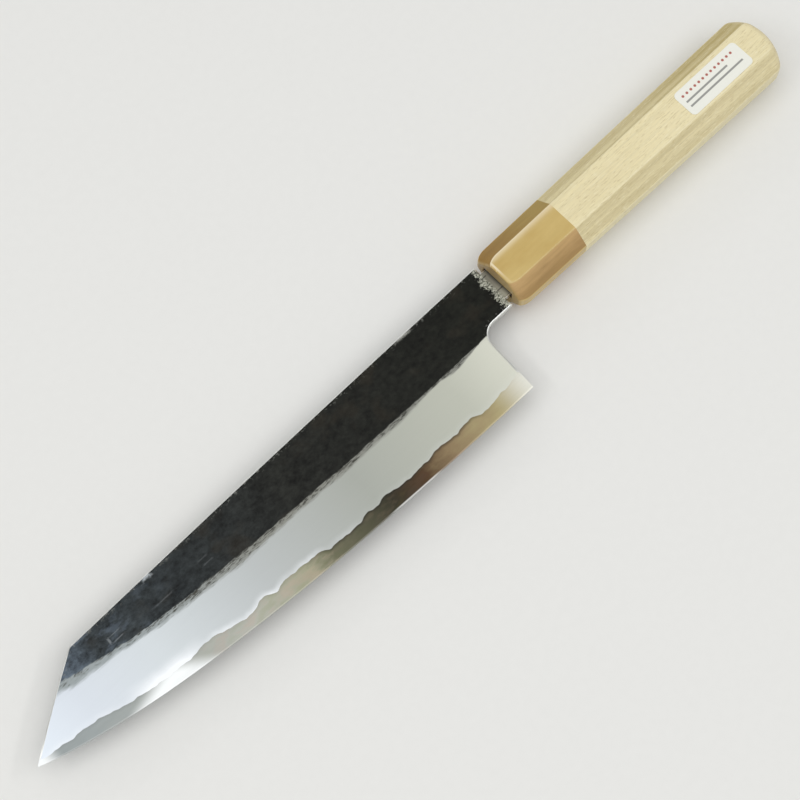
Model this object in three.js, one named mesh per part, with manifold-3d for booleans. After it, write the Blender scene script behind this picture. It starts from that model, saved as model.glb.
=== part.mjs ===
import * as THREE from 'three';
import { mergeVertices } from 'three/addons/utils/BufferGeometryUtils.js';
import Module from 'manifold-3d';

const wasm = await Module();
wasm.setup();
const { lerp, clamp, smoothstep } = THREE.MathUtils;

// Laminated kitchen knife with a clipped point and an octagonal handle, lying on its side, in millimetres.
// x runs from the point to the butt and is 0 at the mouth of the ferrule.
// y runs from the edge to the spine and is 0 on the axis of the handle.
// z is 0 in the middle of the blade's thickness.

// Outline of the blade
const edgeLength = 210;
const pointRise = 20.7;
const edgeDrop = 35.4;
const heelFlat = 53;
const bellyRun = 47.6;
const bellyDrop = 18.3;
const spineRise = 9.8;
const spineFall = 1.9;
const clipRun = 33.8;
const clipBulge = 1.2;
const heelSetback = 16.1;
const heelLean = 0.7;
const throatDrop = 9.2;
const choilRadius = 6;
const neckGap = 2.2;

// Tang, from the bare neck to its end inside the handle
const neckTop = 6.7;
const neckBottom = 5.9;
const neckRun = 7;
const tangLength = 95;
const tangEndHeight = 5;

// Thickness and grind of the blade
const spineThickness = 3;
const cornerThickness = 1.8;
const grindDrop = 12.1;
const grindLift = 4.1;
const grindSweep = 7;
const grindSwell = 0.25;
const finalBevelHeight = 0.6;
const finalBevelThickness = 0.44;
const edgeThickness = 0.16;
const coreShare = 0.34;

// Lamination line: share of the way from heel to point, height above the edge
const laminationKnots = [
  [0, 7], [0.04, 6], [0.09, 5], [0.11, 6.6], [0.137, 6.5], [0.15, 5.8], [0.183, 6.6], [0.221, 5.7],
  [0.263, 5.3], [0.308, 6.4], [0.333, 5.3], [0.345, 6.1], [0.37, 4.7], [0.427, 4.8], [0.451, 6.2],
  [0.515, 6.3], [0.543, 5], [0.563, 6.4], [0.595, 4.2], [0.631, 4.8], [0.657, 5.9], [0.684, 6],
  [0.706, 4.6], [0.776, 3.9], [0.838, 4.1], [0.873, 4.9], [0.908, 4.6], [0.931, 3.5], [1, 1.6],
];

// Handle and ferrule
const handleLength = 135.8;
const ferruleLength = 31.5;
const frontHeight = 24;
const buttHeight = 26.5;
const frontThickness = 17;
const buttThickness = 19.5;
const frontBevel = 6.05;
const buttBevel = 6.4;
const buttRise = 8.4;
const mouthEaseHeight = 2.4;
const mouthEaseHeightRun = 5;
const mouthEaseThickness = 0.7;
const mouthEaseThicknessRun = 1.3;

// Fit of the tang, the tenon and the fillings
const slotClearance = 0.6;
const sealRecess = 0.4;
const sealDepth = 3;
const slotOvershoot = 2;
const tenonLength = 18;
const tenonWall = 1.8;
const tenonCorner = 2.5;
const glueGap = 0.3;

// Sticker on the upper flat of the handle
const labelStart = 91.9;
const labelLength = 31;
const labelWidth = 11;
const labelShift = -0.6;
const labelCorner = 1.8;
const labelThickness = 0.2;
const labelLift = 0.05;

// Fineness of the curves, and how far a cutting shape reaches past the piece it cuts
const edgeSteps = 100;
const outlineSteps = 48;
const domeSteps = 48;
const easeSteps = 8;
const cornerSteps = 6;
const reach = 2;

const shoulderX = -neckGap;
const heelX = shoulderX - heelSetback;
const pointX = heelX - Math.sqrt(edgeLength ** 2 - pointRise ** 2);
const pointY = pointRise - edgeDrop;
const cornerX = pointX + clipRun;
const cornerY = spineRise - spineFall;
const neckHalf = spineThickness / 2;
const slotTop = neckTop + slotClearance;
const slotBottom = -neckBottom - slotClearance;
const slotHalf = neckHalf + slotClearance;
const tenonFront = ferruleLength - tenonLength;

function solid(geometry) {
  const bare = new THREE.BufferGeometry();
  bare.setAttribute('position', geometry.getAttribute('position'));
  bare.setIndex(geometry.index);
  const merged = mergeVertices(bare);
  return new wasm.Manifold(new wasm.Mesh({
    numProp: 3,
    vertProperties: merged.getAttribute('position').array,
    triVerts: new Uint32Array(merged.index.array),
  }));
}

function surface(body) {
  const mesh = body.getMesh();
  const geometry = new THREE.BufferGeometry();
  geometry.setAttribute('position', new THREE.BufferAttribute(mesh.vertProperties, mesh.numProp));
  geometry.setIndex(new THREE.BufferAttribute(mesh.triVerts, 1));
  geometry.computeVertexNormals();
  return geometry;
}

function block(x0, x1, y0, y1, z0, z1) {
  const box = new THREE.BoxGeometry(x1 - x0, y1 - y0, z1 - z0);
  return solid(box.translate((x0 + x1) / 2, (y0 + y1) / 2, (z0 + z1) / 2));
}

function extruded(shape, depth, curveSegments) {
  return new THREE.ExtrudeGeometry(shape, { depth, bevelEnabled: false, curveSegments });
}

function roundedRectangle(width, height, radius) {
  const x = width / 2;
  const y = height / 2;
  const shape = new THREE.Shape();
  shape.moveTo(x, radius - y);
  shape.absarc(x - radius, y - radius, radius, 0, Math.PI / 2);
  shape.absarc(radius - x, y - radius, radius, Math.PI / 2, Math.PI);
  shape.absarc(radius - x, radius - y, radius, Math.PI, 1.5 * Math.PI);
  shape.absarc(x - radius, radius - y, radius, 1.5 * Math.PI, 2 * Math.PI);
  return shape;
}

const edgeCurve = new THREE.CubicBezierCurve(
  new THREE.Vector2(heelX, -edgeDrop),
  new THREE.Vector2(heelX - heelFlat, -edgeDrop),
  new THREE.Vector2(pointX + bellyRun, pointY - bellyDrop),
  new THREE.Vector2(pointX, pointY),
);

// Outline of blade, neck and tang
function bladeOutline() {
  const choilX = heelX + heelLean + choilRadius;
  const tangEnd = tangEndHeight / 2;
  const outline = new THREE.Shape();
  outline.moveTo(shoulderX, spineRise);
  outline.quadraticCurveTo((shoulderX + cornerX) / 2, spineRise, cornerX, cornerY);
  outline.quadraticCurveTo((cornerX + pointX) / 2 - clipBulge, (cornerY + pointY) / 2, pointX, pointY);
  outline.bezierCurveTo(
    pointX + bellyRun, pointY - bellyDrop,
    heelX - heelFlat, -edgeDrop,
    heelX, -edgeDrop,
  );
  outline.lineTo(heelX + heelLean, -throatDrop - choilRadius);
  outline.absarc(choilX, -throatDrop - choilRadius, choilRadius, Math.PI, Math.PI / 2, true);
  outline.lineTo(shoulderX, -throatDrop);
  outline.lineTo(shoulderX, -neckBottom);
  outline.lineTo(neckRun, -neckBottom);
  outline.lineTo(tangLength - tangEndHeight, -tangEnd);
  outline.lineTo(tangLength, 0);
  outline.lineTo(tangLength - tangEndHeight, tangEnd);
  outline.lineTo(neckRun, neckTop);
  outline.lineTo(shoulderX, neckTop);
  return outline;
}

// Half thickness of the flat, as forged, tapering from the shoulders to the clipped corner
function flatHalf(x) {
  const taper = (spineThickness - cornerThickness) / 2 / (shoulderX - cornerX);
  return neckHalf - Math.max(0, shoulderX - x) * taper;
}

// One cross-section of the blade: where the grind, the lamination and the final bevel lie
function station(x, edgeY) {
  const share = clamp((heelX - x) / (heelX - pointX), 0, 1);
  const grindY = grindLift * share + grindSweep * share ** 4 - grindDrop;
  const next = Math.max(1, laminationKnots.findIndex(([at]) => at >= share));
  const [fromShare, fromHeight] = laminationKnots[next - 1];
  const [toShare, toHeight] = laminationKnots[next];
  const height = lerp(fromHeight, toHeight, smoothstep(share, fromShare, toShare));
  return { x, edgeY, grindY, footY: edgeY + finalBevelHeight, laminationY: edgeY + height };
}

// Half thickness of the whole blade: flat, then a slightly swelling grind, then the steeper final bevel
function bladeHalf({ x, edgeY, grindY, footY }, y) {
  const footHalf = finalBevelThickness / 2;
  const edgeHalf = edgeThickness / 2;
  const share = clamp((y - footY) / (grindY - footY), 0, 1);
  const grind = lerp(footHalf, flatHalf(x), share * (1 + grindSwell * (1 - share)));
  return y < footY ? lerp(edgeHalf, footHalf, (y - edgeY) / finalBevelHeight) : grind;
}

// Half thickness of the core under the cladding, straight from the spine to the lamination line
function coreHalf(at, y) {
  const top = spineRise + reach;
  const share = (y - at.laminationY) / (top - at.laminationY);
  return lerp(bladeHalf(at, at.laminationY), flatHalf(at.x) * coreShare, share);
}

// Heights of the rows of one cross-section, from above the spine down to the lamination line
function claddingRows({ grindY, laminationY }) {
  const rows = [spineRise + reach, grindY];
  for (const share of [1 / 3, 2 / 3, 1]) {
    rows.push(lerp(grindY, laminationY, share));
  }
  return rows;
}

// The core goes on below the lamination line, past the edge to where its final bevels nearly meet
function coreRows(at) {
  return [...claddingRows(at), at.footY, at.edgeY - finalBevelHeight / 4];
}

// Closed sheet between an upper and a lower surface over the same cross-sections
function sheet(stations, rowsAt, upperAt, lowerAt) {
  const rows = stations.map(rowsAt);
  const count = rows[0].length;
  const last = stations.length - 1;
  const positions = [];
  const index = [];
  for (const heightAt of [upperAt, lowerAt]) {
    stations.forEach((at, i) => rows[i].forEach((y) => positions.push(at.x, y, heightAt(at, y))));
  }
  const up = (i, j) => i * count + j;
  const low = (i, j) => (last + 1 + i) * count + j;
  const quad = (a, b, c, d) => index.push(a, b, c, a, c, d);
  for (let i = 0; i < last; i += 1) {
    for (let j = 0; j < count - 1; j += 1) {
      quad(up(i, j), up(i, j + 1), up(i + 1, j + 1), up(i + 1, j));
      quad(low(i, j), low(i + 1, j), low(i + 1, j + 1), low(i, j + 1));
    }
    quad(up(i, 0), up(i + 1, 0), low(i + 1, 0), low(i, 0));
    quad(up(i, count - 1), low(i, count - 1), low(i + 1, count - 1), up(i + 1, count - 1));
  }
  for (let j = 0; j < count - 1; j += 1) {
    quad(up(0, j), low(0, j), low(0, j + 1), up(0, j + 1));
    quad(up(last, j), up(last, j + 1), low(last, j + 1), low(last, j));
  }
  const geometry = new THREE.BufferGeometry();
  geometry.setAttribute('position', new THREE.Float32BufferAttribute(positions, 3));
  geometry.setIndex(index);
  return solid(geometry);
}

// Three layers forged together, each trimmed to the outline of the blade
function bladeLayers() {
  const along = edgeCurve.getPoints(edgeSteps).reverse();
  const stations = [
    station(pointX - reach, pointY),
    ...along.map((point) => station(point.x, point.y)),
    station(shoulderX, -edgeDrop),
    station(tangLength + reach, -edgeDrop),
  ];
  const depth = spineThickness + 2 * reach;
  const trim = solid(extruded(bladeOutline(), depth, outlineSteps).translate(0, 0, -depth / 2));
  const coreFace = (at, y) => (y > at.laminationY ? coreHalf(at, y) : bladeHalf(at, y));
  const negative = (half) => (at, y) => -half(at, y);
  return {
    core: sheet(stations, coreRows, coreFace, negative(coreFace)).intersect(trim),
    face: sheet(stations, claddingRows, bladeHalf, coreFace).intersect(trim),
    back: sheet(stations, claddingRows, negative(coreFace), negative(bladeHalf)).intersect(trim),
  };
}

// How far a rounded front edge draws the section in, a quarter ellipse over its run
function ease(x, size, run) {
  return size * (1 - Math.sqrt(1 - clamp(1 - x / run, 0, 1) ** 2));
}

// Octagonal section of the handle at x
function octagon(x) {
  const share = x / handleLength;
  const easeHeight = ease(x, mouthEaseHeight, mouthEaseHeightRun);
  const easeThickness = ease(x, mouthEaseThickness, mouthEaseThicknessRun);
  const h = lerp(frontHeight, buttHeight, share) / 2 - easeHeight;
  const t = lerp(frontThickness, buttThickness, share) / 2 - easeThickness;
  const c = lerp(frontBevel, buttBevel, share);
  const quarter = [[h, t - c], [h - c, t]];
  const half = [...quarter, ...quarter.map(([y, z]) => [-y, z]).reverse()];
  const ring = [...half, ...half.map(([y, z]) => [-y, -z])];
  return ring.map(([y, z]) => [x, y, z]);
}

// Solid skinned over a row of octagonal sections
function skinned(sections) {
  const sides = sections[0].length;
  const index = [];
  const end = (sections.length - 1) * sides;
  for (let k = 0; k < sides; k += 1) {
    const next = (k + 1) % sides;
    for (let ring = 0; ring < end; ring += sides) {
      index.push(ring + k, ring + next, ring + sides + next);
      index.push(ring + k, ring + sides + next, ring + sides + k);
    }
  }
  for (let k = 1; k < sides - 1; k += 1) {
    index.push(0, k + 1, k);
    index.push(end, end + k, end + k + 1);
  }
  const geometry = new THREE.BufferGeometry();
  geometry.setAttribute('position', new THREE.Float32BufferAttribute(sections.flat(2), 3));
  geometry.setIndex(index);
  return solid(geometry);
}

// Tenon of the handle, or with a gap the bore in the ferrule that takes it
function tenon(front, back, gap) {
  const height = 2 * (Math.max(slotTop, -slotBottom) + tenonWall + gap);
  const thickness = 2 * (slotHalf + tenonWall + gap);
  const section = roundedRectangle(thickness, height, tenonCorner + gap);
  return solid(extruded(section, back - front, cornerSteps).rotateY(Math.PI / 2).translate(front, 0, 0));
}

function ferruleBody() {
  const sections = [];
  for (let step = 0; step <= easeSteps; step += 1) {
    const turn = (step / easeSteps) * Math.PI / 2;
    sections.push(octagon(mouthEaseHeightRun * (1 - Math.cos(turn))));
  }
  sections.push(octagon(ferruleLength));
  const boreFront = tenonFront - glueGap;
  const mouth = block(-reach, boreFront + reach, slotBottom, slotTop, -slotHalf, slotHalf);
  return skinned(sections).subtract(tenon(boreFront, ferruleLength + reach, glueGap)).subtract(mouth);
}

// Slot that runs through the tenon into the handle and takes the tang with its bedding
function tangSlot() {
  return block(tenonFront, tangLength + slotOvershoot, slotBottom, slotTop, -slotHalf, slotHalf);
}

// Solid of revolution that rounds the butt off to a shallow dome
function dome() {
  const girth = Math.hypot(buttHeight, buttThickness) / 2;
  const radius = (girth ** 2 + buttRise ** 2) / (2 * buttRise);
  const widest = Math.asin(girth / radius);
  const profile = [new THREE.Vector2(0, 0), new THREE.Vector2(girth, 0)];
  for (let step = 0; step <= easeSteps; step += 1) {
    const turn = widest * (1 - step / easeSteps);
    profile.push(new THREE.Vector2(radius * Math.sin(turn), handleLength - radius * (1 - Math.cos(turn))));
  }
  return solid(new THREE.LatheGeometry(profile, domeSteps).rotateZ(-Math.PI / 2));
}

function handleBody() {
  const outer = skinned([octagon(ferruleLength), octagon(handleLength)]).intersect(dome());
  return outer.add(tenon(tenonFront, ferruleLength + reach, 0)).subtract(tangSlot());
}

function mouthSeal() {
  const back = sealRecess + sealDepth;
  const filling = block(sealRecess, back, slotBottom, slotTop, -slotHalf, slotHalf);
  return filling.subtract(block(-reach, back + reach, -neckBottom, neckTop, -neckHalf, neckHalf));
}

// Resin between the slot and the tang, clear of the tang's tapering edges by the glue gap
function tangBedding() {
  const tangEnd = tangEndHeight / 2 + glueGap;
  const cavity = new THREE.Shape();
  cavity.moveTo(neckRun, neckTop + glueGap);
  cavity.lineTo(neckRun, -neckBottom - glueGap);
  cavity.lineTo(tangLength - tangEndHeight, -tangEnd);
  cavity.lineTo(tangLength + glueGap, -glueGap);
  cavity.lineTo(tangLength + glueGap, glueGap);
  cavity.lineTo(tangLength - tangEndHeight, tangEnd);
  const hollow = solid(extruded(cavity, spineThickness, cornerSteps).translate(0, 0, -neckHalf));
  return tangSlot().subtract(hollow);
}

function labelSheet() {
  const slope = (buttThickness - frontThickness) / 2 / handleLength;
  const middle = labelStart + labelLength / 2;
  const section = roundedRectangle(labelLength, labelWidth, labelCorner);
  const paper = extruded(section, labelThickness, cornerSteps).rotateY(-Math.atan(slope));
  return solid(paper.translate(middle, labelShift, frontThickness / 2 + slope * middle + labelLift));
}

const layers = bladeLayers();
const pieces = [
  ['core_steel', layers.core, 0x9a927c, 0.35, 0.9],
  ['cladding_face', layers.face, 0x4b4d4b, 0.55, 0.8],
  ['cladding_back', layers.back, 0x4b4d4b, 0.55, 0.8],
  ['mouth_seal', mouthSeal(), 0x2a2018, 0.8, 0],
  ['tang_bedding', tangBedding(), 0xa98f5c, 0.6, 0],
  ['ferrule', ferruleBody(), 0xc3a86c, 0.3, 0],
  ['handle_body', handleBody(), 0xe4d8ae, 0.45, 0],
  ['label', labelSheet(), 0xecece2, 0.6, 0],
];

const knife = new THREE.Group();
knife.name = 'kiritsuke_gyuto';
for (const [name, body, color, roughness, metalness] of pieces) {
  const mesh = new THREE.Mesh(surface(body), new THREE.MeshStandardMaterial({ color, roughness, metalness }));
  mesh.name = name;
  knife.add(mesh);
}

// The origin lies under the middle of the knife, on the surface it rests on
const bounds = new THREE.Box3().setFromObject(knife);
const middle = bounds.getCenter(new THREE.Vector3());
for (const mesh of knife.children) {
  mesh.geometry.translate(-middle.x, -middle.y, -bounds.min.z);
}

export default knife;
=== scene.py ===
import bisect
import math

import bpy
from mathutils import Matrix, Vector, kdtree


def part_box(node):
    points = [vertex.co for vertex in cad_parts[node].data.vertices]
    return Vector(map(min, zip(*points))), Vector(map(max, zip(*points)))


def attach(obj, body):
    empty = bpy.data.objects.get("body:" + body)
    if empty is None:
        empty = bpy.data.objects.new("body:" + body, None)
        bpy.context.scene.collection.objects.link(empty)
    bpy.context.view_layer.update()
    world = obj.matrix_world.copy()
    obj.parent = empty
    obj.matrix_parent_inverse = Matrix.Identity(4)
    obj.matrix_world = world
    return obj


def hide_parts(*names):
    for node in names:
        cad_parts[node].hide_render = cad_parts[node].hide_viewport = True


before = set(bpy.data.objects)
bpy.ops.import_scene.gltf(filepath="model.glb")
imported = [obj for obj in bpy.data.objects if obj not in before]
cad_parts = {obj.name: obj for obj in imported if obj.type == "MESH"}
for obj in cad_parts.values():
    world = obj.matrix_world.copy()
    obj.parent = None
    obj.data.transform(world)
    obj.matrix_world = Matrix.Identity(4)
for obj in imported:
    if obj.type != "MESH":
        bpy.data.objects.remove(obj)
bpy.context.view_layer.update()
print("frame loaded with", len(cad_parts), "nodes")

# Blade and handle are measured in millimetres from the middle of the ferrule's mouth
mm = 0.001
near = 0.01  # a point this close to a line lies on it
weldGap = 0.002
ferruleLow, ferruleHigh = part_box("ferrule")
mouthX = ferruleLow.x
axisY = (ferruleLow.y + ferruleHigh.y) / 2
axisZ = sum(corner.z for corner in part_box("handle_body")) / 2


def place(x, y, z):
    return Vector((mouthX + x * mm, axisY + y * mm, axisZ + z * mm))


def design(spot):
    # the way back from a placed point, without its height
    return (spot.x - mouthX) / mm, (spot.y - axisY) / mm


def flat(x, y):
    return Vector((x, y, 0))


def mix(a, b, share):
    return a + (b - a) * share


def unit(value):
    return min(max(value, 0), 1)


def eased(t):
    return t * t * (3 - 2 * t)


def evenShares(count):
    return [i / count for i in range(count + 1)]


def interval(values, value):
    # number of the first entry that isn't below the value, from the second to the last
    return min(max(bisect.bisect_left(values, value), 1), len(values) - 1)


def bezier(points, share):
    while len(points) > 1:
        points = [a.lerp(b, share) for a, b in zip(points, points[1:])]
    return points[0]


def spaced(points, count):
    # the same broken line with evenly spaced points
    runs = [0.0]
    for a, b in zip(points, points[1:]):
        runs.append(runs[-1] + (b - a).length)
    spots = []
    for share in evenShares(count):
        run = runs[-1] * share
        k = interval(runs, run)
        spots.append(points[k - 1].lerp(points[k], (run - runs[k - 1]) / (runs[k] - runs[k - 1])))
    return spots


def alone(obj):
    bpy.ops.object.select_all(action="DESELECT")
    obj.select_set(True)
    bpy.context.view_layer.objects.active = obj


def editMode(obj, kind):
    alone(obj)
    bpy.ops.object.mode_set(mode="EDIT")
    bpy.ops.mesh.select_mode(type=kind)


def editAll(obj, kind):
    editMode(obj, kind)
    bpy.ops.mesh.select_all(action="SELECT")


def editEdges(obj, passes):
    # only the edges whose two ends pass a test are selected
    for edge in obj.data.edges:
        edge.select = all(passes(obj.data.vertices[k].co) for k in edge.vertices)
    for part in (*obj.data.vertices, *obj.data.polygons):
        part.select = False
    editMode(obj, "EDGE")


def objectMode():
    bpy.ops.object.mode_set(mode="OBJECT")


def weld(obj, distance):
    editAll(obj, "VERT")
    bpy.ops.mesh.remove_doubles(threshold=distance)
    bpy.ops.mesh.normals_make_consistent(inside=False)
    objectMode()


def joined(first, *others):
    bpy.ops.object.select_all(action="DESELECT")
    for obj in (first, *others):
        obj.select_set(True)
    bpy.context.view_layer.objects.active = first
    bpy.ops.object.join()
    return first


def copied(obj, name):
    twin = obj.copy()
    twin.data = obj.data.copy()
    twin.name = name
    bpy.context.scene.collection.objects.link(twin)
    return twin


def applied(obj, kind, **settings):
    alone(obj)
    modifier = obj.modifiers.new(kind.lower(), kind)
    for key, value in settings.items():
        setattr(modifier, key, value)
    bpy.ops.object.modifier_apply(modifier=modifier.name)


def smoothed(obj, degrees):
    alone(obj)
    bpy.ops.object.shade_smooth_by_angle(angle=math.radians(degrees))


def aimed(obj, direction):
    obj.rotation_mode = "QUATERNION"
    obj.rotation_quaternion = direction.to_track_quat("-Z", "Y")


def standFor(piece, node):
    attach(piece, "root")
    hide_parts(node)


# Camera at the photograph's angle; its target is in mm from the frame's origin
camera = {
    "target": (-8.66, 4.37, 9.73), "distance": 823.3, "azimuth": -44.364, "elevation": 70.912,
    "lens": 108, "sensor": 36, "clip": (0.01, 50),
}


def setCamera():
    turn, rise = math.radians(camera["azimuth"]), math.radians(camera["elevation"])
    back = Vector((math.sin(turn) * math.cos(rise), -math.cos(turn) * math.cos(rise), math.sin(rise)))
    target = Vector(camera["target"]) * mm
    bpy.ops.object.camera_add(location=target + back * camera["distance"] * mm)
    made = bpy.context.object
    made.name = "photoCamera"
    aimed(made, -back)
    made.data.lens = camera["lens"]
    made.data.sensor_width = camera["sensor"]
    made.data.clip_start, made.data.clip_end = camera["clip"]
    bpy.context.scene.camera = made


setCamera()
bpy.context.scene.view_settings.view_transform = "Standard"
print("camera set")


def tint(colour):
    # a screen colour as the shader's own numbers; a wire stays as it is
    if isinstance(colour, Wire):
        return colour
    shares = [c / 255 for c in colour]
    return tuple(c / 12.92 if c <= 0.04045 else ((c + 0.055) / 1.055) ** 2.4 for c in shares) + (1,)


class Wire:
    def __init__(self, tree, socket=None):
        self.tree = tree
        self.socket = socket

    # any node: its settings first, then the values or links of its sockets
    def node(self, kind, sockets, out=0, stops=None, **settings):
        made = self.tree.nodes.new("ShaderNode" + kind)
        for key, value in settings.items():
            setattr(made, key, value)
        if stops:
            ramp = made.color_ramp
            while len(ramp.elements) < len(stops):
                ramp.elements.new(0.5)
            for element, (spot, colour) in zip(ramp.elements, stops):
                element.position = spot
                element.color = tint(colour)
        for key, value in sockets.items():
            if isinstance(value, Wire):
                self.tree.links.new(value.socket, made.inputs[key])
            else:
                made.inputs[key].default_value = value
        return Wire(self.tree, made.outputs[out] if made.outputs else None)

    def maths(self, operation, *values):
        return self.node("Math", dict(enumerate(values)), operation=operation)

    def __add__(self, other):
        return self.maths("ADD", self, other)

    def __radd__(self, other):
        return self.maths("ADD", other, self)

    def __sub__(self, other):
        return self.maths("SUBTRACT", self, other)

    def __rsub__(self, other):
        return self.maths("SUBTRACT", other, self)

    def __mul__(self, other):
        return self.maths("MULTIPLY", self, other)

    def __truediv__(self, other):
        return self.maths("DIVIDE", self, other)

    def __pow__(self, other):
        return self.maths("POWER", self, other)

    def size(self):
        return self.maths("ABSOLUTE", self)

    def least(self, other):
        return self.maths("MINIMUM", self, other)

    def most(self, other):
        return self.maths("MAXIMUM", self, other)

    # 0 below low, 1 above high, eased between them
    def step(self, low, high):
        return self.node(
            "MapRange", {"Value": self, "From Min": low, "From Max": high}, interpolation_type="SMOOTHSTEP"
        )

    # 0 at first, 1 from full to fade, 0 again from the end on
    def window(self, start, full, fade, end):
        return self.step(start, full) * (1 - self.step(fade, end))

    # 1 within the inner distance of a place, 0 beyond the outer one
    def beside(self, middle, inner, outer):
        return 1 - (self - middle).size().step(inner, outer)

    def part(self, axis):
        return self.node("SeparateXYZ", {0: self}, out=axis)

    def parts(self):
        return [self.part(axis) for axis in range(3)]

    # millimetres from a place, along x and along y
    def offset(self, x, y):
        return (self.part(0) - x) / mm, (self.part(1) - y) / mm

    def attribute(self, name, out="Vector"):
        return self.node("Attribute", {}, out=out, attribute_name=name)

    def ramp(self, stops):
        return self.node("ValToRGB", {0: self}, stops=stops)

    # a blend from one colour to another
    def between(self, first, second):
        return self.node("Mix", {0: self, 6: tint(first), 7: tint(second)}, out=2, data_type="RGBA")

    # a colour made lighter or darker by this number
    def dim(self, colour):
        grey = self.node("CombineXYZ", {0: self, 1: self, 2: self})
        sockets = {0: 1.0, 6: tint(colour), 7: grey}
        return self.node("Mix", sockets, out=2, data_type="RGBA", blend_type="MULTIPLY")

    # noise with so many features in a metre along x, y and z
    def cloud(self, perMetre, detail=2.0, rough=0.5, shift=0.0):
        laid = self.node("Mapping", {"Vector": self, "Scale": perMetre, "Location": (shift, shift, shift)})
        return self.node("TexNoise", {"Vector": laid, "Scale": 1.0, "Detail": detail, "Roughness": rough})

    def bump(self, strength, depth, under=None):
        sockets = {"Height": self, "Strength": strength, "Distance": depth}
        if under:
            sockets["Normal"] = under
        return self.node("Bump", sockets)


def newFinish(name):
    finish = bpy.data.materials.new(name)
    finish.use_nodes = True
    finish.node_tree.nodes.clear()
    return finish, Wire(finish.node_tree).node("TexCoord", {}, out="Object")


def closeFinish(finish, sockets):
    wire = Wire(finish.node_tree)
    wire.node("OutputMaterial", {"Surface": wire.node("BsdfPrincipled", sockets)})
    return finish


# Studio: a pale floor, even air and soft panels
studio = {
    "floorSize": 9, "floorColour": (236, 236, 233), "fill": 0.5,
    "panels": [  # place, size and radiance; each looks at the middle of the knife
        ((-0.25, -0.1, 1.5), (2.2, 1.8), 0.88),
        ((0.55, 1.25, 0.75), (1.6, 0.06), 3.0),
        ((0.75, -0.75, 1.15), (1.2, 0.12), 6.0),
        ((-0.95, 0.35, 1.1), (0.9, 0.1), 6.0),
    ],
}


def floorFinish():
    finish, spot = newFinish("paleFloor")
    speckle = spot.cloud((300, 300, 300), detail=3)
    colour = (0.985 + speckle * 0.03).dim(studio["floorColour"])
    return closeFinish(finish, {"Base Color": colour, "Roughness": 0.75, "Specular IOR Level": 0.2})


def setFloor():
    bpy.ops.object.select_all(action="DESELECT")
    bpy.ops.mesh.primitive_plane_add(size=studio["floorSize"], location=(0, 0, 0))
    floor = bpy.context.object
    floor.name = "studioFloor"
    floor.data.materials.append(floorFinish())


def setAir():
    world = bpy.data.worlds.new("studioAir")
    bpy.context.scene.world = world
    world.use_nodes = True
    world.node_tree.nodes.clear()
    air = Wire(world.node_tree)
    glow = air.node("Background", {"Color": (1, 1, 1, 1), "Strength": studio["fill"]})
    air.node("OutputWorld", {"Surface": glow})


def setPanels():
    for number, (spot, size, radiance) in enumerate(studio["panels"]):
        bpy.ops.object.light_add(type="AREA", location=spot)
        lamp = bpy.context.object
        lamp.name = f"softPanel{number}"
        aimed(lamp, -Vector(spot))
        lamp.data.shape = "RECTANGLE"
        lamp.data.size, lamp.data.size_y = size
        lamp.data.energy = radiance * math.pi * size[0] * size[1]
        lamp.visible_camera = False


setFloor()
setAir()
setPanels()
print("studio set")

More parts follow.
